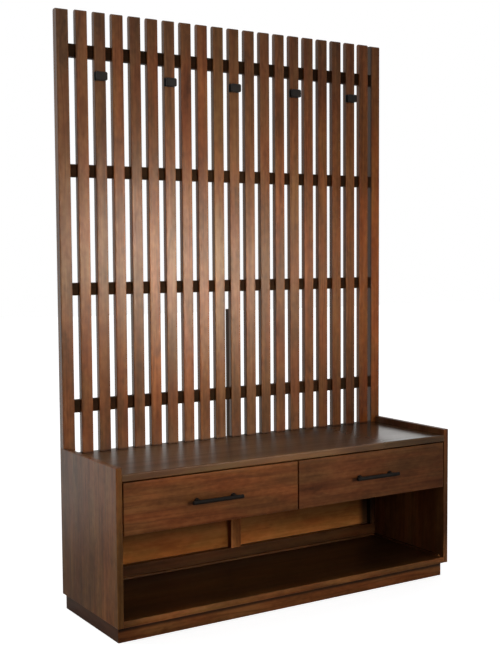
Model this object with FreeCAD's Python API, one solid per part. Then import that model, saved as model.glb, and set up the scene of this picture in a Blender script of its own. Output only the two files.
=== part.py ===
import FreeCAD
import Part
import os

Vector = FreeCAD.Vector

# Hall tree: a bench with two drawers over an open cubby, and a tall slatted back with coat hooks.
# Millimetres. X runs to the right, the front faces -Y, Z is up, and the part stands on Z = 0.

# Overall sizes
WIDTH = 1200.0             # across the two side panels
DEPTH = 394.0              # side panels, front to back
HEIGHT = 1796.0            # floor to the tops of the slats
SEAT_HEIGHT = 476.0        # floor to the bench top

# Bench carcass
PANEL_T = 18.0             # side panels
LIP_RISE = 18.5            # side panels above the seat
TOP_T = 20.0               # bench top
SHELF_T = 18.0             # bottom shelf
BEAD = 7.0                 # quarter-round bead along the shelf's back and ends
BEAD_SETBACK = 20.0        # bead's ends behind the shelf's front edge
PLINTH_H = 48.0
PLINTH_T = 18.0
PLINTH_SIDE_INSET = 11.0   # plinth behind the side panels' outer faces
PLINTH_FRONT_INSET = 23.0  # plinth behind the shelf's front edge
DIVIDER_T = 18.0           # upright board between the drawers
DIVIDER_SETBACK = 2.0      # divider behind the drawer fronts
DIVIDER_LIFT = 8.0         # divider's lower edge above the drawer fronts' lower edges
BACK_RAIL_H = 40.0         # rail along the back of the shelf
BACK_PANEL_T = 4.0
BACK_REBATE = 8.0          # how far the back panels reach into the posts and the back rail

# Slatted back
FRAME_T = 26.0             # posts and rails, front to back
POST_W = 37.5
RAIL_H = 37.5
RAIL_COUNT = 4
RAIL_RISE = 144.0          # middle of the lowest rail above the seat
RAIL_DROP = 118.5          # middle of the highest rail below the slat tops
CENTRE_POST_GAP = 58.0     # top of the centre post below the second rail
SLAT_COUNT = 19
SLAT_W = 36.0
SLAT_T = 18.0
SLAT_PROUD = 8.0           # slat fronts ahead of the posts and rails
END_GAP = 20.25            # between a tall post and the slat beside it
TENON_LENGTH = 12.0
TENON_T = 6.0
TENON_SHOULDER = 6.0       # above and below a tenon
TENON_BACK_INSET = 3.0     # behind a tenon

# Drawers
FRONT_T = 20.0             # drawer fronts
FRONT_H = 147.5
TOP_REVEAL = 4.5           # between a drawer front and the bench top
SIDE_REVEAL = 3.5          # between a drawer front and a side panel
MIDDLE_REVEAL = 4.5        # between the two drawer fronts
BOX_T = 12.0               # drawer sides and backs
BOX_DROP = 24.0            # drawer sides below the top of the front
BOX_LIFT = 12.0            # drawer sides above the bottom of the front
BOX_REAR_GAP = 26.0        # behind the drawer boxes
BOTTOM_T = 6.0
BOTTOM_LIFT = 8.0          # drawer bottom above the lower edges of the sides
GROOVE_DEPTH = 6.0         # drawer bottom into the sides and the front

# Drawer runners, two channels that slide one in the other
RUNNER_SPACE = 13.0        # beside each drawer box
RUNNER_H = 35.0
RUNNER_WALL = 1.5
RUNNER_REACH = 10.0        # fixed channel, out from the carcass
RUNNER_LIFT = 34.0         # fixed channel above the lower edge of the drawer side
RUNNER_FRONT_GAP = 4.0     # behind the drawer front
RUNNER_REAR_GAP = 8.0      # ahead of the back end of the drawer box
RUN_CLEARANCE = 0.4

# Bar pulls
PULL_SPACING = 120.0       # between the feet
PULL_OVERHANG = 23.0       # bar past each foot
PULL_BAR_D = 12.0
PULL_FOOT_W = 9.0          # square feet
PULL_BASE_D = 17.0         # round plates under the feet
PULL_BASE_T = 3.0
PULL_STANDOFF = 16.0       # between the drawer front and the bar
PULL_DROP = 3.25           # bar below the middle of the drawer front

# Coat hooks
HOOK_DROP = 190.0          # middle of the hooks below the slat tops
HOOK_SHIFT = 3.0           # hooks to the left of the middles of their slats
HOOK_EVERY = 4             # slats from one hook to the next
HOOK_FIRST = 1             # index of the first slat with a hook
HOOK_COUNT = 5
HOOK_W = 36.0
HOOK_H = 25.5
HOOK_REACH = 19.5          # slat face to the front of the head
HOOK_HEAD_T = 5.0
HOOK_BASE_T = 3.0
HOOK_NECK_W = 12.0
HOOK_NECK_H = 10.0
HOOK_CORNER = 5.5

# Bolts that hold the tall posts to the side panels
BOLT_D = 6.0
BOLT_BITE = 10.0           # bolt into the side panel
BOLT_HEAD_D = 11.0         # across the corners of the six-sided head
BOLT_HEAD_H = 4.0
BOLT_HEIGHT_SHARES = (0.25, 0.75)

# Edges and fits
SLAT_CROWN = 7.0           # rounding of the tops of slats and posts, front and back
SLAT_EASE = 1.5            # eased front edges of slats and posts
BOARD_EASE = 1.5           # eased edges of the side panels and the shelf
SEAT_EASE = 3.0            # front edge of the bench top
FRONT_EASE = 1.5           # edges of the drawer fronts and rails
METAL_EASE = 1.0           # edges of the hooks and pulls
FIT = 0.2                  # clearance of a piece in its housing
OVERRUN = 5.0              # cutting bodies past the faces that they cut
TOUCH = 0.001              # places closer than this are the same place

# Places worked out from the sizes
PULL_REACH = PULL_STANDOFF + PULL_BAR_D
LEFT = -WIDTH / 2
RIGHT = WIDTH / 2
FRONT = -(DEPTH - PULL_REACH) / 2
BACK = FRONT + DEPTH
INNER_LEFT = LEFT + PANEL_T
INNER_RIGHT = RIGHT - PANEL_T
LIP_TOP = SEAT_HEIGHT + LIP_RISE
SEAT_UNDERSIDE = SEAT_HEIGHT - TOP_T
SHELF_TOP = PLINTH_H + SHELF_T
BACK_RAIL_TOP = SHELF_TOP + BACK_RAIL_H

FRAME_FRONT = BACK - FRAME_T
SLAT_FRONT = FRAME_FRONT - SLAT_PROUD
SLAT_BACK = SLAT_FRONT + SLAT_T
POST_INNER = LEFT + POST_W
SLAT_PITCH = (WIDTH - (POST_W + END_GAP) * 2 - SLAT_W) / (SLAT_COUNT - 1)
SLAT_CENTRES = [(i - (SLAT_COUNT - 1) / 2) * SLAT_PITCH for i in range(SLAT_COUNT)]
LOW_RAIL_Z = SEAT_HEIGHT + RAIL_RISE
RAIL_PITCH = (HEIGHT - RAIL_DROP - LOW_RAIL_Z) / (RAIL_COUNT - 1)
RAIL_HEIGHTS = [LOW_RAIL_Z + i * RAIL_PITCH for i in range(RAIL_COUNT)]
CENTRE_POST_TOP = RAIL_HEIGHTS[1] - RAIL_H / 2 - CENTRE_POST_GAP
HOOK_Z = HEIGHT - HOOK_DROP

DRAWER_TOP = SEAT_UNDERSIDE - TOP_REVEAL
DRAWER_BOTTOM = DRAWER_TOP - FRONT_H
FRONT_BACK = FRONT + FRONT_T
BOX_LOW = DRAWER_BOTTOM + BOX_LIFT
BOX_HIGH = DRAWER_TOP - BOX_DROP
BOX_BACK = FRAME_FRONT - BOX_REAR_GAP
BOX_LEFT = INNER_LEFT + RUNNER_SPACE
BOX_RIGHT = -DIVIDER_T / 2 - RUNNER_SPACE
BOX_MIDDLE = (BOX_LEFT + BOX_RIGHT) / 2
BOTTOM_Z = BOX_LOW + BOTTOM_LIFT
RUNNER_LOW = BOX_LOW + RUNNER_LIFT
RUNNER_START = FRONT_BACK + RUNNER_FRONT_GAP
RUNNER_END = BOX_BACK - RUNNER_REAR_GAP
FRONT_LEFT = INNER_LEFT + SIDE_REVEAL
FRONT_RIGHT = -MIDDLE_REVEAL / 2

HEXAGON = 6
RIGHTWARD = Vector(1, 0, 0)
BACKWARD = Vector(0, 1, 0)


# Shared shapes
def board(x0, x1, y0, y1, z0, z1):
    return Part.makeBox(x1 - x0, y1 - y0, z1 - z0, Vector(x0, y0, z0))


def mirrored(shape, x=0):
    return shape.mirror(Vector(x, 0, 0), RIGHTWARD)


def same(a, b):
    return abs(a - b) < TOUCH


def ease(solid, radius, wanted):
    edges = [edge for edge in solid.Edges if wanted(edge.BoundBox)]
    return solid.makeFillet(radius, edges)


def bevel(solid, size, wanted):
    edges = [edge for edge in solid.Edges if wanted(edge.BoundBox)]
    return solid.makeChamfer(size, edges)


def upright(x0, x1, y0, y1, z0, z1):
    # a standing board with eased front edges and a top that is rounded to the front and back
    plain = board(x0, x1, y0, y1, z0, z1)
    eased = ease(plain, SLAT_EASE, lambda b: same(b.XMin, b.XMax) and same(b.YMax, y0))
    crowned = ease(plain, SLAT_CROWN, lambda b: same(b.ZMin, z1) and same(b.YMin, b.YMax))
    return eased.common(crowned)


# Bench carcass
def left_side_panel():
    panel = board(LEFT, INNER_LEFT, FRONT, BACK, PLINTH_H, LIP_TOP)
    panel = bevel(panel, BOARD_EASE, lambda b: (same(b.ZMin, LIP_TOP) and not same(b.YMin, BACK))
                  or (same(b.YMax, FRONT) and not same(b.ZMax, PLINTH_H)))
    return panel.cut(left_bolts(FIT))


def bench_top():
    top = board(INNER_LEFT, INNER_RIGHT, FRONT, BACK, SEAT_UNDERSIDE, SEAT_HEIGHT)
    top = ease(top, SEAT_EASE, lambda b: same(b.YMax, FRONT) and same(b.ZMin, SEAT_HEIGHT))
    low, high = SEAT_UNDERSIDE - OVERRUN, SEAT_HEIGHT + OVERRUN
    corner = board(INNER_LEFT - OVERRUN, POST_INNER + FIT, FRAME_FRONT - FIT, BACK + OVERRUN, low, high)
    half = POST_W / 2 + FIT
    middle = board(-half, half, FRAME_FRONT - FIT, BACK + OVERRUN, low, high)
    return top.cut([corner, mirrored(corner), middle])


def bottom_shelf():
    # its back and ends carry a small quarter-round bead, worked in one with it
    shelf = board(INNER_LEFT, INNER_RIGHT, FRONT, BACK, PLINTH_H, SHELF_TOP)
    shelf = ease(shelf, BOARD_EASE, lambda b: same(b.YMax, FRONT) and same(b.ZMin, SHELF_TOP))
    near, high = FRAME_FRONT - BEAD, SHELF_TOP + BEAD
    rear = board(INNER_LEFT, INNER_RIGHT, near, FRAME_FRONT, SHELF_TOP, high)
    rear = ease(rear, BEAD - TOUCH, lambda b: same(b.YMax, near) and same(b.ZMin, high))
    inner = INNER_LEFT + BEAD
    end = board(INNER_LEFT, inner, FRONT + BEAD_SETBACK, FRAME_FRONT, SHELF_TOP, high)
    end = ease(end, BEAD - TOUCH, lambda b: same(b.XMin, inner) and same(b.ZMin, high))
    return shelf.fuse([rear, end, mirrored(end)]).removeSplitter()


def mitred(corners):
    # a plinth board from its plan, as tall as the plinth
    outline = Part.makePolygon([Vector(x, y, 0) for x, y in corners + corners[:1]])
    return Part.Face(outline).extrude(Vector(0, 0, PLINTH_H))


def plinth_front():
    out = WIDTH / 2 - PLINTH_SIDE_INSET
    near = FRONT + PLINTH_FRONT_INSET
    far = near + PLINTH_T
    return mitred([(-out, near), (out, near), (out - PLINTH_T, far), (PLINTH_T - out, far)])


def plinth_left():
    out = LEFT + PLINTH_SIDE_INSET
    near = FRONT + PLINTH_FRONT_INSET
    return mitred([(out, near), (out + PLINTH_T, near + PLINTH_T),
                   (out + PLINTH_T, BACK - PLINTH_T), (out, BACK)])


def plinth_back():
    out = WIDTH / 2 - PLINTH_SIDE_INSET
    near = BACK - PLINTH_T
    return mitred([(-out, BACK), (PLINTH_T - out, near), (out - PLINTH_T, near), (out, BACK)])


def drawer_divider():
    return board(-DIVIDER_T / 2, DIVIDER_T / 2, FRONT_BACK + DIVIDER_SETBACK, FRAME_FRONT,
                 DRAWER_BOTTOM + DIVIDER_LIFT, SEAT_UNDERSIDE)


def back_bay(gap):
    # space for the left back panel, with a gap to spare at its edges
    return board(POST_INNER - BACK_REBATE - gap, BACK_REBATE - POST_W / 2 + gap,
                 BACK - BACK_PANEL_T, BACK + gap, BACK_RAIL_TOP - BACK_REBATE - gap, SEAT_UNDERSIDE)


def back_panel_left():
    return back_bay(0)


def back_bottom_rail():
    rail = board(INNER_LEFT, INNER_RIGHT, FRAME_FRONT, BACK, SHELF_TOP, BACK_RAIL_TOP)
    rail = ease(rail, FRONT_EASE, lambda b: same(b.YMax, FRAME_FRONT) and same(b.ZMin, BACK_RAIL_TOP))
    return rail.cut([back_bay(FIT), mirrored(back_bay(FIT))])


# Slatted back
def tenon(x0, x1, z, gap):
    # a rail's stub at height z, grown by a gap for its mortise
    half = RAIL_H / 2 - TENON_SHOULDER + gap
    far = BACK - TENON_BACK_INSET + gap
    return board(x0 - gap, x1 + gap, far - TENON_T - gap - gap, far, z - half, z + half)


def rail(x0, x1, z):
    bar = board(x0, x1, FRAME_FRONT, BACK, z - RAIL_H / 2, z + RAIL_H / 2)
    bar = bevel(bar, FRONT_EASE, lambda b: same(b.YMin, BACK) and same(b.ZMin, b.ZMax))
    half = SLAT_W / 2 + FIT
    reach = RAIL_H / 2 + OVERRUN
    housings = [board(x - half, x + half, FRAME_FRONT - OVERRUN, SLAT_BACK, z - reach, z + reach)
                for x in SLAT_CENTRES if x0 < x < x1]
    bar = bar.cut(housings)
    return bar.fuse([tenon(x0 - TENON_LENGTH, x0, z, 0), tenon(x1, x1 + TENON_LENGTH, z, 0)]).removeSplitter()


def full_rail(z):
    return rail(POST_INNER, -POST_INNER, z)


def low_left_rail():
    return rail(POST_INNER, -POST_W / 2, LOW_RAIL_Z)


def left_post():
    # the outer half of its foot stands on the side panel, the inner half goes down beside it
    tall = upright(LEFT, POST_INNER, FRAME_FRONT, BACK, LIP_TOP, HEIGHT)
    foot = board(INNER_LEFT, POST_INNER, FRAME_FRONT, BACK, BACK_RAIL_TOP, LIP_TOP)
    post = tall.fuse(foot).removeSplitter()
    mortises = [tenon(POST_INNER - TENON_LENGTH, POST_INNER, z, FIT) for z in RAIL_HEIGHTS]
    return post.cut(mortises + [back_bay(FIT), left_bolts(FIT)])


def centre_post():
    half = POST_W / 2
    post = board(-half, half, FRAME_FRONT, BACK, BACK_RAIL_TOP, CENTRE_POST_TOP)
    step = board(-half - OVERRUN, half + OVERRUN, FRAME_FRONT - OVERRUN, SLAT_BACK,
                 SEAT_HEIGHT, CENTRE_POST_TOP + OVERRUN)
    mortise = tenon(-half, TENON_LENGTH - half, LOW_RAIL_Z, FIT)
    bay = back_bay(FIT)
    return post.cut([step, mortise, mirrored(mortise), bay, mirrored(bay)])


def slat(x):
    return upright(x - SLAT_W / 2, x + SLAT_W / 2, SLAT_FRONT, SLAT_BACK, SEAT_HEIGHT, HEIGHT)


def left_bolts(gap):
    # hexagon bolts through the foot of the left post, or the holes that they need
    heights = [DRAWER_BOTTOM + share * FRONT_H for share in BOLT_HEIGHT_SHARES]
    return Part.makeCompound([bolt(z, gap) for z in heights])


def bolt(z, gap):
    tip = Vector(INNER_LEFT - BOLT_BITE - gap, BACK - FRAME_T / 2, z)
    shank = Part.makeCylinder(BOLT_D / 2 + gap, POST_W - PANEL_T + BOLT_BITE + gap, tip, RIGHTWARD)
    if gap:
        return shank
    ring = Part.makeCircle(BOLT_HEAD_D / 2, Vector(POST_INNER, tip.y, z), RIGHTWARD)
    corners = ring.discretize(HEXAGON + 1)
    head = Part.Face(Part.makePolygon(corners)).extrude(RIGHTWARD * BOLT_HEAD_H)
    return shank.fuse(head)


def coat_hook(x):
    # a square base on the slat, a short neck and a head with rounded corners
    def block(width, height, y0, y1):
        return board(x - width / 2, x + width / 2, y0, y1, HOOK_Z - height / 2, HOOK_Z + height / 2)
    base_front = SLAT_FRONT - HOOK_BASE_T
    head_front = SLAT_FRONT - HOOK_REACH
    head_back = head_front + HOOK_HEAD_T
    head = block(HOOK_W, HOOK_H, head_front, head_back)
    head = ease(head, HOOK_CORNER, lambda b: same(b.XMin, b.XMax) and same(b.ZMin, b.ZMax))
    head = bevel(head, METAL_EASE, lambda b: same(b.YMax, head_front))
    neck = block(HOOK_NECK_W, HOOK_NECK_H, head_back, base_front)
    return neck.fuse([block(HOOK_W, HOOK_H, base_front, SLAT_FRONT), head])


# Left drawer; the right one is its mirror image
def bottom_groove(gap):
    # the drawer bottom's own space, grown by a gap for its grooves
    return board(BOX_LEFT + BOX_T - GROOVE_DEPTH - gap, BOX_RIGHT - BOX_T + GROOVE_DEPTH + gap,
                 FRONT_BACK - GROOVE_DEPTH - gap, BOX_BACK, BOTTOM_Z, BOTTOM_Z + BOTTOM_T + gap)


def drawer_front():
    front = board(FRONT_LEFT, FRONT_RIGHT, FRONT, FRONT_BACK, DRAWER_BOTTOM, DRAWER_TOP)
    front = ease(front, FRONT_EASE, lambda b: same(b.YMax, FRONT))
    return front.cut(bottom_groove(FIT))


def drawer_left_side():
    side = board(BOX_LEFT, BOX_LEFT + BOX_T, FRONT_BACK, BOX_BACK, BOX_LOW, BOX_HIGH)
    return side.cut(bottom_groove(FIT))


def drawer_right_side():
    return mirrored(drawer_left_side(), BOX_MIDDLE)


def drawer_back():
    return board(BOX_LEFT + BOX_T, BOX_RIGHT - BOX_T, BOX_BACK - BOX_T, BOX_BACK,
                 BOTTOM_Z + BOTTOM_T, BOX_HIGH)


def drawer_bottom():
    return bottom_groove(0)


def drawer_pull():
    x = (FRONT_LEFT + FRONT_RIGHT) / 2
    z = (DRAWER_TOP + DRAWER_BOTTOM) / 2 - PULL_DROP
    y = FRONT - PULL_STANDOFF - PULL_BAR_D / 2
    half = PULL_SPACING / 2 + PULL_OVERHANG
    bar = Part.makeCylinder(PULL_BAR_D / 2, half * 2, Vector(x - half, y, z), RIGHTWARD)
    bar = bevel(bar, METAL_EASE, lambda b: same(b.XMin, b.XMax))
    side = PULL_FOOT_W / 2
    feet = []
    for foot_x in (x - PULL_SPACING / 2, x + PULL_SPACING / 2):
        plate = Vector(foot_x, FRONT - PULL_BASE_T, z)
        feet.append(board(foot_x - side, foot_x + side, y, FRONT, z - side, z + side))
        feet.append(Part.makeCylinder(PULL_BASE_D / 2, PULL_BASE_T, plate, BACKWARD))
    return bar.fuse(feet).removeSplitter()


# Runners
def channel(web, lips, low, high):
    # a channel along Y: web is the X of its flat back, lips the X of its open edge
    inward = RUNNER_WALL if lips > web else -RUNNER_WALL
    outline = [(web, low), (lips, low), (lips, low + RUNNER_WALL), (web + inward, low + RUNNER_WALL),
               (web + inward, high - RUNNER_WALL), (lips, high - RUNNER_WALL), (lips, high), (web, high)]
    wire = Part.makePolygon([Vector(x, RUNNER_START, z) for x, z in outline + outline[:1]])
    return Part.Face(wire).extrude(Vector(0, RUNNER_END - RUNNER_START, 0))


def fixed_runners():
    # the two channels on the carcass for the left drawer
    runner = channel(INNER_LEFT, INNER_LEFT + RUNNER_REACH, RUNNER_LOW, RUNNER_LOW + RUNNER_H)
    return [runner, mirrored(runner, BOX_MIDDLE)]


def drawer_runners():
    # the two channels on the left drawer, nested in the fixed ones
    inset = RUNNER_WALL + RUN_CLEARANCE
    runner = channel(BOX_LEFT, INNER_LEFT + inset, RUNNER_LOW + inset, RUNNER_LOW + RUNNER_H - inset)
    return [runner, mirrored(runner, BOX_MIDDLE)]


def group(solids):
    return Part.makeCompound(solids)


# Every piece under its own name
pieces = {
    "left_side_panel": left_side_panel(),
    "right_side_panel": mirrored(left_side_panel()),
    "bench_top": bench_top(),
    "bottom_shelf": bottom_shelf(),
    "plinth_front": plinth_front(),
    "plinth_left": plinth_left(),
    "plinth_right": mirrored(plinth_left()),
    "plinth_back": plinth_back(),
    "drawer_divider": drawer_divider(),
    "left_post": left_post(),
    "centre_post": centre_post(),
    "right_post": mirrored(left_post()),
    "back_bottom_rail": back_bottom_rail(),
    "back_panel_left": back_panel_left(),
    "back_panel_right": mirrored(back_panel_left()),
    "rail_low_left": low_left_rail(),
    "rail_low_right": mirrored(low_left_rail()),
    "post_bolts": group([left_bolts(0), mirrored(left_bolts(0))]),
    "fixed_runners": group(fixed_runners() + [mirrored(runner) for runner in fixed_runners()]),
    "left_drawer_runners": group(drawer_runners()),
    "right_drawer_runners": mirrored(group(drawer_runners())),
}
for rail_name, rail_z in zip(("rail_lower", "rail_upper", "rail_top"), RAIL_HEIGHTS[1:]):
    pieces[rail_name] = full_rail(rail_z)
for number, slat_x in enumerate(SLAT_CENTRES, start=1):
    pieces["slat_%02d" % number] = slat(slat_x)
for number in range(HOOK_COUNT):
    slat_x = SLAT_CENTRES[HOOK_FIRST + number * HOOK_EVERY]
    pieces["coat_hook_%d" % (number + 1)] = coat_hook(slat_x - HOOK_SHIFT)
drawer = {
    "front": drawer_front(),
    "left_side": drawer_left_side(),
    "right_side": drawer_right_side(),
    "back": drawer_back(),
    "bottom": drawer_bottom(),
    "pull": drawer_pull(),
}
swapped = {"left_side": "right_side", "right_side": "left_side"}
for piece_name, piece in drawer.items():
    pieces["left_drawer_" + piece_name] = piece
    pieces["right_drawer_" + swapped.get(piece_name, piece_name)] = mirrored(piece)

os.makedirs("parts", exist_ok=True)
for piece_name, piece in pieces.items():
    piece.exportStep("parts/%s.step" % piece_name)
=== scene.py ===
import math
from collections import namedtuple

import bpy
from mathutils import Matrix, Vector


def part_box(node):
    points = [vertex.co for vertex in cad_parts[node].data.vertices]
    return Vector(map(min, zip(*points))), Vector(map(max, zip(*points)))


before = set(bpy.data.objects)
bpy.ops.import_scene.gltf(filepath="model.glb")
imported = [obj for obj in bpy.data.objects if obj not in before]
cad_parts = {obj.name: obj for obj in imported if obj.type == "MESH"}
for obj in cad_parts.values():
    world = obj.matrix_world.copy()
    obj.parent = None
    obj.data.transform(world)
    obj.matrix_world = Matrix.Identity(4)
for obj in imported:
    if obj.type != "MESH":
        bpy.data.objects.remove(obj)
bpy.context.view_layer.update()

# Camera, in metres and degrees, found from the edges in the photograph
IMAGE_HEIGHT = 645           # pixels
SENSOR = 36.0                # millimetres along the image's long side
FOCAL = 1110.2               # pixels
AXIS_RIGHT = 26.2            # pixels from the image's middle to the optical axis
AXIS_DOWN = 5.3
CAMERA_PLACE = Vector((-1.8637, -2.9233, 1.0773))
CAMERA_YAW = math.radians(33.095)
CAMERA_PITCH = math.radians(3.846)
CAMERA_ROLL = math.radians(0.271)

# Lamps, in metres, degrees and watts: only the key shows in the gloss
KEY_PLACE = Vector((1.28, -2.70, 1.01))
KEY_AIM = Vector((-0.20, 0.18, 1.04))
KEY_SIZE = (1.05, 0.72)
KEY_TILT = math.radians(-30.0)
KEY_SPREAD = math.radians(36.0)
KEY_POWER = 1.15
WASH_PLACE = Vector((0.60, -2.80, 1.00))
WASH_AIM = Vector((-0.10, 0.18, 0.97))
WASH_SIZE = (0.80, 0.60)
WASH_SPREAD = math.radians(37.0)
WASH_POWER = 5.4
FILL_PLACE = Vector((-0.20, -2.90, 0.35))
FILL_AIM = Vector((-0.64, -0.18, 0.42))
FILL_SIZE = (0.50, 0.30)
FILL_SPREAD = math.radians(12.0)
FILL_POWER = 0.15
LOW_PLACE = Vector((0.20, -2.90, 0.07))
LOW_AIM = Vector((0.20, -0.18, 0.07))
LOW_SIZE = (1.50, 0.04)
LOW_SPREAD = math.radians(4.2)
LOW_POWER = 0.36

# Studio round the object: levels, and the parts of a direction, from -1 to 1, over which they change
STUDIO_FRONT = 0.16          # light that the studio sends from in front of the object
STUDIO_BACK = 0.60           # from behind it
STUDIO_LEFT = 0.40           # and on top of that from its left
LEFT_RANGE = (-0.3, -0.9)
TURN_RANGE = (-0.25, 0.35)
GLOSS_FRONT = 0.05           # what gloss mirrors in front
GLOSS_HIGH = 0.42            # in front and higher up
HIGH_RANGE = (0.05, 0.18)
GLOSS_CORNER = 0.45          # and on top of that where the slats on the left mirror it
CORNER_RANGE = (0.44, 0.375)
RISE_RANGE = (-0.06, 0.05)
GLOSS_LEFT = 0.80            # behind on the left
GLOSS_MIDDLE = 0.62          # behind, past the slats on the left
GLOSS_INNER = 0.07           # past those on the right
INNER_RANGE = (0.44, 0.56)
GLOSS_RIGHT = 1.00           # and behind on the right, where the backdrop is white
SIDE_RANGE = (0.59, 0.615)
WHITE = (1.0, 1.0, 1.0, 1.0)

# Floor, in metres
FLOOR_SIZE = 30.0
FLOOR_COLOUR = (0.60, 0.60, 0.60, 1.0)
FLOOR_GLOW = 0.88            # what the camera sees on top of the light on the floor
FLOOR_FAR_GLOW = 0.80        # what gloss mirrors of the floor behind the object
FLOOR_FAR_RANGE = (0.6, 2.0)


def srgb(red, green, blue):
    def linear(value):
        share = value / 255
        return share / 12.92 if share <= 0.04045 else ((share + 0.055) / 1.055) ** 2.4
    return (linear(red), linear(green), linear(blue), 1.0)


# Stains: dark, middle and light parts of the grain
BROWN = (srgb(70, 37, 17), srgb(106, 62, 33), srgb(134, 84, 49))
# the deeper stain also serves as painted shade on the plinth's ends and the rail at the back of the shelf
DEEP = (srgb(48, 26, 13), srgb(70, 41, 22), srgb(90, 56, 32))
RAIL = (srgb(27, 16, 9), srgb(37, 23, 13), srgb(47, 30, 17))
PLY = (srgb(102, 58, 24), srgb(126, 75, 34), srgb(146, 91, 46))
PALE = (srgb(128, 90, 56), srgb(156, 115, 76), srgb(178, 138, 96))
STAIN_MIDDLE_SHARE = 0.5

# Tints of single boards
TINTS = {
    "plain": (1.00, 1.00, 1.00, 1.0),
    "golden": (1.17, 1.12, 1.02, 1.0),
    "light": (1.08, 1.06, 1.04, 1.0),
    "red": (1.08, 1.00, 0.96, 1.0),
    "olive": (0.94, 1.05, 0.98, 1.0),
    # painted light: much lighter, with a sage cast, for the left side panel where the light falls on it
    "sage_painted_light": (1.36, 1.52, 1.30, 1.0),
    "grey": (0.92, 0.97, 1.02, 1.0),
    "dark": (0.84, 0.85, 0.87, 1.0),
    # painted shade: darker, for the right side panel and the right drawer front, which get less light
    "painted_shade": (0.71, 0.72, 0.71, 1.0),
    # painted shade: much darker, for the rail low at the back of the shelf
    "painted_deep_shade": (0.48, 0.48, 0.46, 1.0),
    "amber": (1.28, 1.06, 0.74, 1.0),
    "russet": (0.87, 0.82, 0.72, 1.0),
    "moss": (0.70, 0.90, 0.92, 1.0),
}
SLAT_TINTS = ("light grey golden dark golden grey red golden olive grey "
              "grey grey plain grey red russet russet russet amber").split()
# the right drawer front is darkened as painted shade
DRAWER_TINTS = {"left": "russet", "right": "painted_shade"}

# Tints of the marks within a board, and of its gloss
WARM = (1.07, 0.96, 0.92, 1.0)
COOL = (0.94, 1.04, 1.02, 1.0)
RED_SPOT = (0.72, 0.58, 0.52, 1.0)
SMUDGE = (0.50, 0.47, 0.46, 1.0)
GLOSS_TINT = (1.00, 0.86, 0.70, 1.0)

# Marks in the wood: how often each repeats along and across the grain, per metre, its detail and roughness
Mark = namedtuple("Mark", "along across detail rough")
MARKS = {
    "clouds": Mark(2.2, 9.0, 2.0, 0.50),
    "patches": Mark(8.0, 30.0, 2.0, 0.50),
    "streaks": Mark(1.3, 48.0, 3.0, 0.55),
    "flecks": Mark(45.0, 95.0, 2.0, 0.50),
    "lines": Mark(2.6, 170.0, 2.0, 0.50),
    "fibres": Mark(8.0, 480.0, 2.0, 0.60),
    "pores": Mark(26.0, 1100.0, 1.0, 0.50),
    "spots": Mark(5.0, 26.0, 2.0, 0.50),
    "smudges": Mark(11.0, 27.0, 3.0, 0.60),
}
RINGS_ALONG = 0.12
RINGS = {"Scale": 9.0, "Distortion": 9.0, "Detail": 2.0, "Detail_Scale": 1.5}
SEED_STEPS = (0.37, 0.61, 0.83)
SEED_REACH = 3.0

# Shares of the marks in the figure of the wood, where flecks take theirs from the streaks
CLOUDS_SHARE = 0.28
PATCHES_SHARE = 0.18
STREAKS_SHARE = 0.34
LINES_SHARE = 0.14
FIBRES_SHARE = 0.06

# Where a mark starts to show and where it is full, and its share of the colour there
FIGURE_RANGE = (0.34, 0.66)
HUE_RANGE = (0.36, 0.64)
SPOTS_RANGE, SPOTS_SHARE = (0.42, 0.26), 0.55
SMUDGES_RANGE, SMUDGES_SHARE = (0.60, 0.74), 0.60
RINGS_RANGE, RINGS_SHARE = (0.93, 1.00), 0.45
RINGS_CLOUDS_RANGE = (0.45, 0.60)
PORES_RANGE, PORES_SHARE = (0.60, 0.72), 0.35

# Lighter edges, a painted highlight on the arrises along with worn stain: their width in metres, and how far
# the rounded edge turns, as a cosine
EDGE_RADIUS = 0.004
EDGE_SAMPLES = 6
EDGE_RANGE, EDGE_SHARE = (0.99, 0.85), 0.65
EDGE_TINT = (2.2, 1.9, 1.6, 1.0)

# Finishes: roughness, strength of the gloss, strength of the relief, and the flecks' share of the figure
Finish = namedtuple("Finish", "gloss shine relief fleck")
SATIN = Finish(gloss=0.34, shine=0.22, relief=0.25, fleck=0.14)
POLISHED = SATIN._replace(gloss=0.24, shine=0.40)
GLASSY = Finish(gloss=0.20, shine=0.70, relief=0.0, fleck=0.02)
RAW = SATIN._replace(gloss=0.50, shine=0.15)
WAXED = SATIN._replace(gloss=0.50, shine=0.10)
MATT = SATIN._replace(gloss=0.60, shine=0.03)
GLOSS_STEP = 0.03            # how far the figure moves the roughness either way
FIBRES_HEIGHT_SHARE = 0.6
RELIEF_DEPTH = 0.0004        # metres

# Metals: colours, grit and clouds per metre, and what those do to tone, roughness and relief
BLACK = srgb(22, 18, 14)
IRON = srgb(32, 27, 23)
ZINC = srgb(190, 192, 195)
GRIT_SCALE = 900.0
CLOUD_SCALE = 40.0
METAL_RANGE = (0.3, 0.7)
METAL_TONES = (0.80, 1.25)
METAL_GLOSS_STEP = 0.08
METAL_RELIEF = 0.25
METAL_RELIEF_DEPTH = 0.0003  # metres

# Places on the object, in metres
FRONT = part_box("bench_top")[0].y
SEAT_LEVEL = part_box("bench_top")[1].z
POST_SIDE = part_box("right_post")[0].x
PLINTH_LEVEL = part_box("plinth_front")[1].z
PANEL_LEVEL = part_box("back_bottom_rail")[1].z

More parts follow.
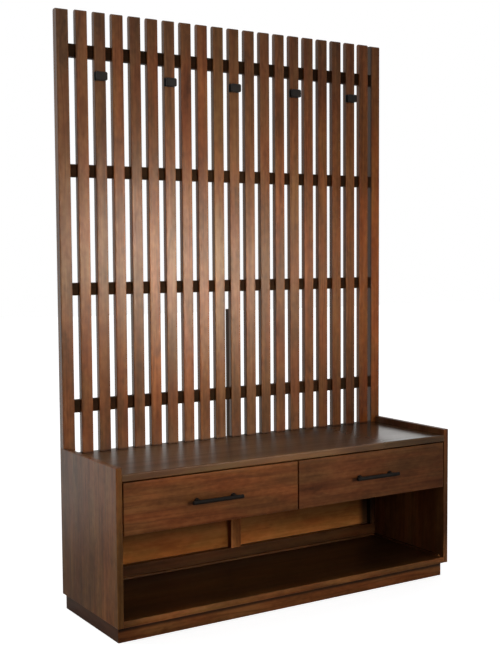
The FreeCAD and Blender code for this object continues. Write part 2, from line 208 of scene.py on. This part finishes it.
# Toned stretches of boards, which stand in for soft shadows: axis, where clear, where full, share and colour
Shade = namedtuple("Shade", "axis clear full share colour")
DARK = srgb(20, 13, 9)
# painted shade: the grey that the centre post takes above the seat, behind the slats, where it lies in
# shadow
SHADOW_GREY = srgb(62, 56, 48)
SLAT_FOOT = Shade("Z", SEAT_LEVEL + 0.008, SEAT_LEVEL + 0.001, 0.75, DARK)
SLAT_LOW = Shade("Z", SEAT_LEVEL + 0.374, SEAT_LEVEL + 0.044, 0.17, DARK)
POST_HEAD = Shade("Z", SEAT_LEVEL - 0.006, SEAT_LEVEL + 0.006, 0.85, SHADOW_GREY)
POST_FOOT = Shade("Z", SEAT_LEVEL - 0.036, SEAT_LEVEL - 0.076, 0.90, DARK)
POST_INNER = Shade("X", POST_SIDE + 0.0040, POST_SIDE + 0.0015, 0.78, DARK)
SIDE_BACK = Shade("Y", FRONT + 0.123, FRONT + 0.283, 0.38, DARK)
SIDE_FRONT = Shade("Y", FRONT + 0.003, FRONT, 0.33, DARK)
SEAT_RIGHT = Shade("X", -0.10, 0.45, 0.42, DARK)
SHELF_DEPTH = Shade("Y", FRONT + 0.006, FRONT + 0.063, 0.60, DARK)
PLINTH_TOP = Shade("Z", PLINTH_LEVEL - 0.022, PLINTH_LEVEL - 0.013, 0.90, DARK)
PANEL_TOP = Shade("Z", PANEL_LEVEL + 0.019, PANEL_LEVEL + 0.094, 0.50, DARK)
PANEL_END = Shade("X", POST_SIDE - 0.0425, POST_SIDE - 0.0125, 0.90, DARK)

# The duller stretch of the seat: axis, where clear, where full, and how much rougher it is there
Dull = namedtuple("Dull", "axis clear full rougher")
SEAT_DULL = Dull("X", 0.42, 0.26, 0.13)

# Each piece has a seed of its own
SEEDS = {name: seed for seed, name in enumerate(sorted(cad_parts))}
HOOKS = 5
SIDES = ("left", "right")

# Sockets of Blender's mix node
NUMBER_A, NUMBER_B, NUMBER_OUT = 2, 3, 0
COLOUR_A, COLOUR_B, COLOUR_OUT = 6, 7, 2


class Nodes:
    def __init__(self, tree):
        self.tree = tree
        tree.nodes.clear()

    def add(self, kind, settings=None, **sockets):
        node = self.tree.nodes.new(kind)
        for key, value in (settings or {}).items():
            setattr(node, key, value)
        for key, value in sockets.items():
            self.feed(node.inputs[key.replace("_", " ")], value)
        return node

    def feed(self, socket, value):
        if isinstance(value, bpy.types.NodeSocket):
            self.tree.links.new(value, socket)
        else:
            socket.default_value = value

    def math(self, operation, a, b):
        node = self.add("ShaderNodeMath", {"operation": operation})
        self.feed(node.inputs[0], a)
        self.feed(node.inputs[1], b)
        return node.outputs["Value"]

    def mix(self, blend, factor, a, b):
        node = self.add("ShaderNodeMix", {"data_type": "RGBA", "blend_type": blend}, Factor=factor)
        self.feed(node.inputs[COLOUR_A], a)
        self.feed(node.inputs[COLOUR_B], b)
        return node.outputs[COLOUR_OUT]

    def pick(self, factor, a, b):
        node = self.add("ShaderNodeMix", Factor=factor)
        self.feed(node.inputs[NUMBER_A], a)
        self.feed(node.inputs[NUMBER_B], b)
        return node.outputs[NUMBER_OUT]

    def spread(self, value, ends, levels=(0.0, 1.0)):
        node = self.add("ShaderNodeMapRange", {"interpolation_type": "SMOOTHSTEP"}, Value=value,
                        From_Min=ends[0], From_Max=ends[1], To_Min=levels[0], To_Max=levels[1])
        return node.outputs["Result"]

    def noise(self, vector, scale=1.0, detail=2.0, rough=0.5):
        node = self.add("ShaderNodeTexNoise", Vector=vector, Scale=scale, Detail=detail, Roughness=rough)
        return node.outputs["Fac"]

    def scaled(self, vector, scale, shift):
        return self.add("ShaderNodeMapping", Vector=vector, Scale=scale, Location=shift).outputs["Vector"]

    def axes(self, vector):
        return self.add("ShaderNodeSeparateXYZ", Vector=vector).outputs


def new_material(name):
    material = bpy.data.materials.new(name)
    material.use_nodes = True
    nodes = Nodes(material.node_tree)
    shader = nodes.add("ShaderNodeBsdfPrincipled")
    nodes.add("ShaderNodeOutputMaterial", Surface=shader.outputs["BSDF"])
    point = nodes.add("ShaderNodeTexCoord").outputs["Object"]
    return material, nodes, shader, point


def stretch(grain, along, across=1.0):
    return tuple(along if axis == grain else across for axis in "XYZ")


def wood_marks(nodes, point, grain, seed):
    # one noise for each kind of mark, drawn out along the grain, and rings round it
    shift = tuple(seed * step % 1.0 * SEED_REACH for step in SEED_STEPS)
    marks = {}
    for kind, mark in MARKS.items():
        start = shift[::-1] if kind == "smudges" else shift
        place = nodes.scaled(point, stretch(grain, mark.along, mark.across), start)
        marks[kind] = nodes.noise(place, detail=mark.detail, rough=mark.rough)
    place = nodes.scaled(point, stretch(grain, RINGS_ALONG), shift)
    settings = {"wave_type": "RINGS", "rings_direction": grain}
    marks["rings"] = nodes.add("ShaderNodeTexWave", settings, Vector=place, **RINGS).outputs["Fac"]
    return marks


def wood_figure(nodes, marks, fleck):
    # how light the wood is, from 0 to 1
    shares = {"clouds": CLOUDS_SHARE, "patches": PATCHES_SHARE, "streaks": STREAKS_SHARE - fleck,
              "flecks": fleck, "lines": LINES_SHARE, "fibres": FIBRES_SHARE}
    figure = 0.0
    for kind, share in shares.items():
        figure = nodes.math("ADD", figure, nodes.math("MULTIPLY", marks[kind], share))
    return nodes.spread(figure, FIGURE_RANGE)


def wood_colour(nodes, marks, figure, stain, tint):
    # the stain over the figure, warm and cool by turns, with red spots, smudges, dark rings and dark pores
    dark, middle, light = stain
    ramp = nodes.add("ShaderNodeValToRGB", Fac=figure)
    ramp.color_ramp.elements[0].color = dark
    ramp.color_ramp.elements[1].color = light
    ramp.color_ramp.elements.new(STAIN_MIDDLE_SHARE).color = middle
    colour = nodes.mix("MULTIPLY", 1.0, ramp.outputs["Color"], tint)
    hue = nodes.mix("MIX", nodes.spread(marks["spots"], HUE_RANGE), WARM, COOL)
    colour = nodes.mix("MULTIPLY", 1.0, colour, hue)
    spots = nodes.spread(marks["spots"], SPOTS_RANGE, (0.0, SPOTS_SHARE))
    colour = nodes.mix("MULTIPLY", spots, colour, RED_SPOT)
    smudges = nodes.spread(marks["smudges"], SMUDGES_RANGE, (0.0, SMUDGES_SHARE))
    colour = nodes.mix("MULTIPLY", smudges, colour, SMUDGE)
    rings = nodes.spread(marks["rings"], RINGS_RANGE, (0.0, RINGS_SHARE))
    rings = nodes.math("MULTIPLY", rings, nodes.spread(marks["clouds"], RINGS_CLOUDS_RANGE))
    colour = nodes.mix("MIX", rings, colour, dark)
    pores = nodes.spread(marks["pores"], PORES_RANGE, (0.0, PORES_SHARE))
    return nodes.mix("MIX", pores, colour, dark)


def shaded(nodes, colour, place, shades):
    for shade in shades:
        share = nodes.spread(place[shade.axis], (shade.clear, shade.full), (0.0, shade.share))
        colour = nodes.mix("MIX", share, colour, shade.colour)
    return colour


def worn_and_highlit(nodes, colour, rounded):
    # lighter along the edges, where the rounded face turns away from the flat one: painted highlight on the
    # arrises, with worn stain
    flat = nodes.add("ShaderNodeNewGeometry").outputs["Normal"]
    turned = nodes.add("ShaderNodeVectorMath", {"operation": "DOT_PRODUCT"})
    nodes.feed(turned.inputs[0], rounded)
    nodes.feed(turned.inputs[1], flat)
    share = nodes.spread(turned.outputs["Value"], EDGE_RANGE, (0.0, EDGE_SHARE))
    return nodes.mix("MIX", share, colour, nodes.mix("MULTIPLY", 1.0, colour, EDGE_TINT))


def wood(name, grain, stain, tint, finish, shades, dull):
    material, nodes, shader, point = new_material(name)
    place = nodes.axes(point)
    marks = wood_marks(nodes, point, grain, SEEDS[name])
    figure = wood_figure(nodes, marks, finish.fleck)
    rounded = nodes.add("ShaderNodeBevel", {"samples": EDGE_SAMPLES}, Radius=EDGE_RADIUS).outputs["Normal"]
    colour = wood_colour(nodes, marks, figure, stain, tint)
    colour = worn_and_highlit(nodes, shaded(nodes, colour, place, shades), rounded)
    nodes.feed(shader.inputs["Base Color"], colour)
    rough = nodes.pick(figure, finish.gloss + GLOSS_STEP, finish.gloss - GLOSS_STEP)
    if dull:
        rougher = nodes.spread(place[dull.axis], (dull.clear, dull.full), (0.0, dull.rougher))
        rough = nodes.math("ADD", rough, rougher)
    nodes.feed(shader.inputs["Roughness"], rough)
    shader.inputs["Specular IOR Level"].default_value = finish.shine
    shader.inputs["Specular Tint"].default_value = GLOSS_TINT
    fibres = nodes.math("MULTIPLY", marks["fibres"], FIBRES_HEIGHT_SHARE)
    height = nodes.math("SUBTRACT", fibres, nodes.spread(marks["pores"], PORES_RANGE))
    bump = nodes.add("ShaderNodeBump", Strength=finish.relief, Distance=RELIEF_DEPTH,
                     Height=height, Normal=rounded)
    nodes.feed(shader.inputs["Normal"], bump.outputs["Normal"])
    return material


def metal(name, colour, metallic, gloss, shine):
    material, nodes, shader, point = new_material(name)
    grit = nodes.noise(point, GRIT_SCALE)
    tone = nodes.spread(nodes.noise(point, CLOUD_SCALE), METAL_RANGE, METAL_TONES)
    toned = nodes.add("ShaderNodeVectorMath", {"operation": "SCALE"}, Scale=tone)
    nodes.feed(toned.inputs[0], colour[:3])
    nodes.feed(shader.inputs["Base Color"], toned.outputs["Vector"])
    rough = nodes.spread(grit, METAL_RANGE, (gloss - METAL_GLOSS_STEP, gloss + METAL_GLOSS_STEP))
    nodes.feed(shader.inputs["Roughness"], rough)
    shader.inputs["Metallic"].default_value = metallic
    shader.inputs["Specular IOR Level"].default_value = shine
    bump = nodes.add("ShaderNodeBump", Strength=METAL_RELIEF, Distance=METAL_RELIEF_DEPTH, Height=grit)
    nodes.feed(shader.inputs["Normal"], bump.outputs["Normal"])
    return material


def dress(name, material):
    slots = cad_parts[name].data.materials
    slots.clear()
    slots.append(material)


def board(name, grain, stain, tint="plain", finish=SATIN, shades=(), dull=None):
    dress(name, wood(name, grain, stain, TINTS[tint], finish, shades, dull))


def dress_back():
    for number, tint in enumerate(SLAT_TINTS, start=1):
        board(f"slat_{number:02}", "Z", BROWN, tint, POLISHED, [SLAT_LOW, SLAT_FOOT])
    for rail in ("top", "upper", "lower", "low_left", "low_right"):
        board(f"rail_{rail}", "X", RAIL, finish=MATT)
    board("left_post", "Z", BROWN, "grey", POLISHED, [POST_FOOT])
    board("right_post", "Z", BROWN, "amber", POLISHED, [POST_FOOT, POST_INNER])
    board("centre_post", "Z", BROWN, "golden", WAXED, [POST_HEAD])


def dress_bench():
    board("bench_top", "X", BROWN, "moss", GLASSY, [SEAT_RIGHT], SEAT_DULL)
    # painted light on the left side panel: lighter overall, and painted shade darker towards the back
    board("left_side_panel", "Z", BROWN, "sage_painted_light", shades=[SIDE_BACK, SIDE_FRONT])
    # painted shade: the right side panel is darkened where less light reaches it
    board("right_side_panel", "Z", BROWN, "painted_shade")
    board("bottom_shelf", "X", BROWN, "olive", shades=[SHELF_DEPTH])
    # painted shade: the rail at the back of the shelf takes the deeper stain, darkened further
    board("back_bottom_rail", "X", DEEP, "painted_deep_shade")
    board("drawer_divider", "Y", DEEP)
    board("plinth_front", "X", BROWN, "russet", shades=[PLINTH_TOP])
    board("plinth_back", "X", BROWN)
    for side in SIDES:
        # the plinth's ends take the deeper stain as painted shade
        board(f"plinth_{side}", "Y", DEEP)
        board(f"back_panel_{side}", "X", PLY, finish=RAW, shades=[PANEL_TOP, PANEL_END])


def dress_drawers():
    for drawer, tint in DRAWER_TINTS.items():
        board(f"{drawer}_drawer_front", "X", BROWN, tint)
        board(f"{drawer}_drawer_back", "X", PALE)
        board(f"{drawer}_drawer_bottom", "X", PLY, finish=RAW)
        for side in SIDES:
            board(f"{drawer}_drawer_{side}_side", "Y", PALE)


def dress_metal():
    black = metal("black_metal", BLACK, metallic=0.0, gloss=0.55, shine=0.15)
    iron = metal("hook_iron", IRON, metallic=0.0, gloss=0.45, shine=0.24)
    zinc = metal("zinc_steel", ZINC, metallic=1.0, gloss=0.35, shine=0.15)
    for number in range(1, HOOKS + 1):
        dress(f"coat_hook_{number}", iron)
    for drawer in SIDES:
        dress(f"{drawer}_drawer_pull", black)
        dress(f"{drawer}_drawer_runners", zinc)
    dress("fixed_runners", zinc)
    dress("post_bolts", zinc)


def soft_box(name, place, aim, size, tilt, spread, power, mirrored):
    light = bpy.data.lights.new(name, "AREA")
    light.shape = "RECTANGLE"
    light.size, light.size_y = size
    light.energy = power
    light.spread = spread
    lamp = bpy.data.objects.new(name, light)
    turn = (aim - place).to_track_quat("-Z", "Y").to_matrix().to_4x4()
    lamp.matrix_world = Matrix.Translation(place) @ turn @ Matrix.Rotation(tilt, 4, "Z")
    lamp.visible_glossy = mirrored
    bpy.context.scene.collection.objects.link(lamp)


def mirrored_level(nodes, way, behind):
    # a dim front that is brighter higher up and on the left, and the backdrop behind the object
    backdrop = nodes.spread(way["X"], TURN_RANGE, (GLOSS_LEFT, GLOSS_MIDDLE))
    backdrop = nodes.pick(nodes.spread(way["X"], INNER_RANGE), backdrop, GLOSS_INNER)
    backdrop = nodes.pick(nodes.spread(way["X"], SIDE_RANGE), backdrop, GLOSS_RIGHT)
    corner = nodes.spread(way["X"], CORNER_RANGE, (0.0, GLOSS_CORNER))
    corner = nodes.math("MULTIPLY", corner, nodes.spread(way["Z"], RISE_RANGE))
    front = nodes.spread(way["Z"], HIGH_RANGE, (GLOSS_FRONT, GLOSS_HIGH))
    return nodes.pick(behind, nodes.math("ADD", front, corner), backdrop)


def studio_world():
    world = bpy.data.worlds.new("studio")
    bpy.context.scene.world = world
    world.use_nodes = True
    nodes = Nodes(world.node_tree)
    path = nodes.add("ShaderNodeLightPath").outputs
    way = nodes.axes(nodes.add("ShaderNodeTexCoord").outputs["Generated"])
    behind = nodes.spread(way["Y"], TURN_RANGE)
    lit = nodes.pick(behind, STUDIO_FRONT, STUDIO_BACK)
    lit = nodes.math("ADD", lit, nodes.spread(way["X"], LEFT_RANGE, (0.0, STUDIO_LEFT)))
    level = nodes.pick(path["Is Glossy Ray"], lit, mirrored_level(nodes, way, behind))
    seen = nodes.math("MAXIMUM", path["Is Camera Ray"], path["Is Transmission Ray"])
    background = nodes.add("ShaderNodeBackground", Color=WHITE, Strength=nodes.pick(seen, level, 1.0))
    nodes.add("ShaderNodeOutputWorld", Surface=background.outputs["Background"])


def floor_material():
    material = bpy.data.materials.new("floor")
    material.use_nodes = True
    nodes = Nodes(material.node_tree)
    path = nodes.add("ShaderNodeLightPath").outputs
    place = nodes.axes(nodes.add("ShaderNodeTexCoord").outputs["Object"])
    far = nodes.spread(place["Y"], FLOOR_FAR_RANGE, (0.0, FLOOR_FAR_GLOW))
    seen = nodes.math("MULTIPLY", path["Is Camera Ray"], FLOOR_GLOW)
    glow = nodes.add("ShaderNodeEmission", Strength=nodes.pick(path["Is Glossy Ray"], seen, far))
    paint = nodes.add("ShaderNodeBsdfDiffuse", Color=FLOOR_COLOUR)
    both = nodes.add("ShaderNodeAddShader")
    nodes.feed(both.inputs[0], paint.outputs["BSDF"])
    nodes.feed(both.inputs[1], glow.outputs["Emission"])
    nodes.add("ShaderNodeOutputMaterial", Surface=both.outputs["Shader"])
    return material


def white_floor():
    half = FLOOR_SIZE / 2
    mesh = bpy.data.meshes.new("floor")
    corners = [(-half, -half, 0.0), (half, -half, 0.0), (half, half, 0.0), (-half, half, 0.0)]
    mesh.from_pydata(corners, [], [(0, 1, 2, 3)])
    mesh.materials.append(floor_material())
    floor = bpy.data.objects.new("floor", mesh)
    bpy.context.scene.collection.objects.link(floor)


def photo_camera():
    data = bpy.data.cameras.new("photo_camera")
    data.sensor_width = SENSOR
    data.lens = FOCAL / IMAGE_HEIGHT * SENSOR
    data.shift_x = -AXIS_RIGHT / IMAGE_HEIGHT
    data.shift_y = AXIS_DOWN / IMAGE_HEIGHT
    camera = bpy.data.objects.new("photo_camera", data)
    turn = Matrix.Rotation(-CAMERA_YAW, 4, "Z") @ Matrix.Rotation(math.pi / 2 - CAMERA_PITCH, 4, "X")
    camera.matrix_world = Matrix.Translation(CAMERA_PLACE) @ turn @ Matrix.Rotation(-CAMERA_ROLL, 4, "Z")
    bpy.context.scene.collection.objects.link(camera)
    bpy.context.scene.camera = camera


bpy.context.scene.view_settings.view_transform = "Standard"
dress_back()
dress_bench()
dress_drawers()
dress_metal()
soft_box("key", KEY_PLACE, KEY_AIM, KEY_SIZE, KEY_TILT, KEY_SPREAD, KEY_POWER, mirrored=True)
soft_box("wash", WASH_PLACE, WASH_AIM, WASH_SIZE, 0.0, WASH_SPREAD, WASH_POWER, mirrored=False)
soft_box("fill", FILL_PLACE, FILL_AIM, FILL_SIZE, 0.0, FILL_SPREAD, FILL_POWER, mirrored=False)
soft_box("low", LOW_PLACE, LOW_AIM, LOW_SIZE, 0.0, LOW_SPREAD, LOW_POWER, mirrored=False)
studio_world()
white_floor()
photo_camera()
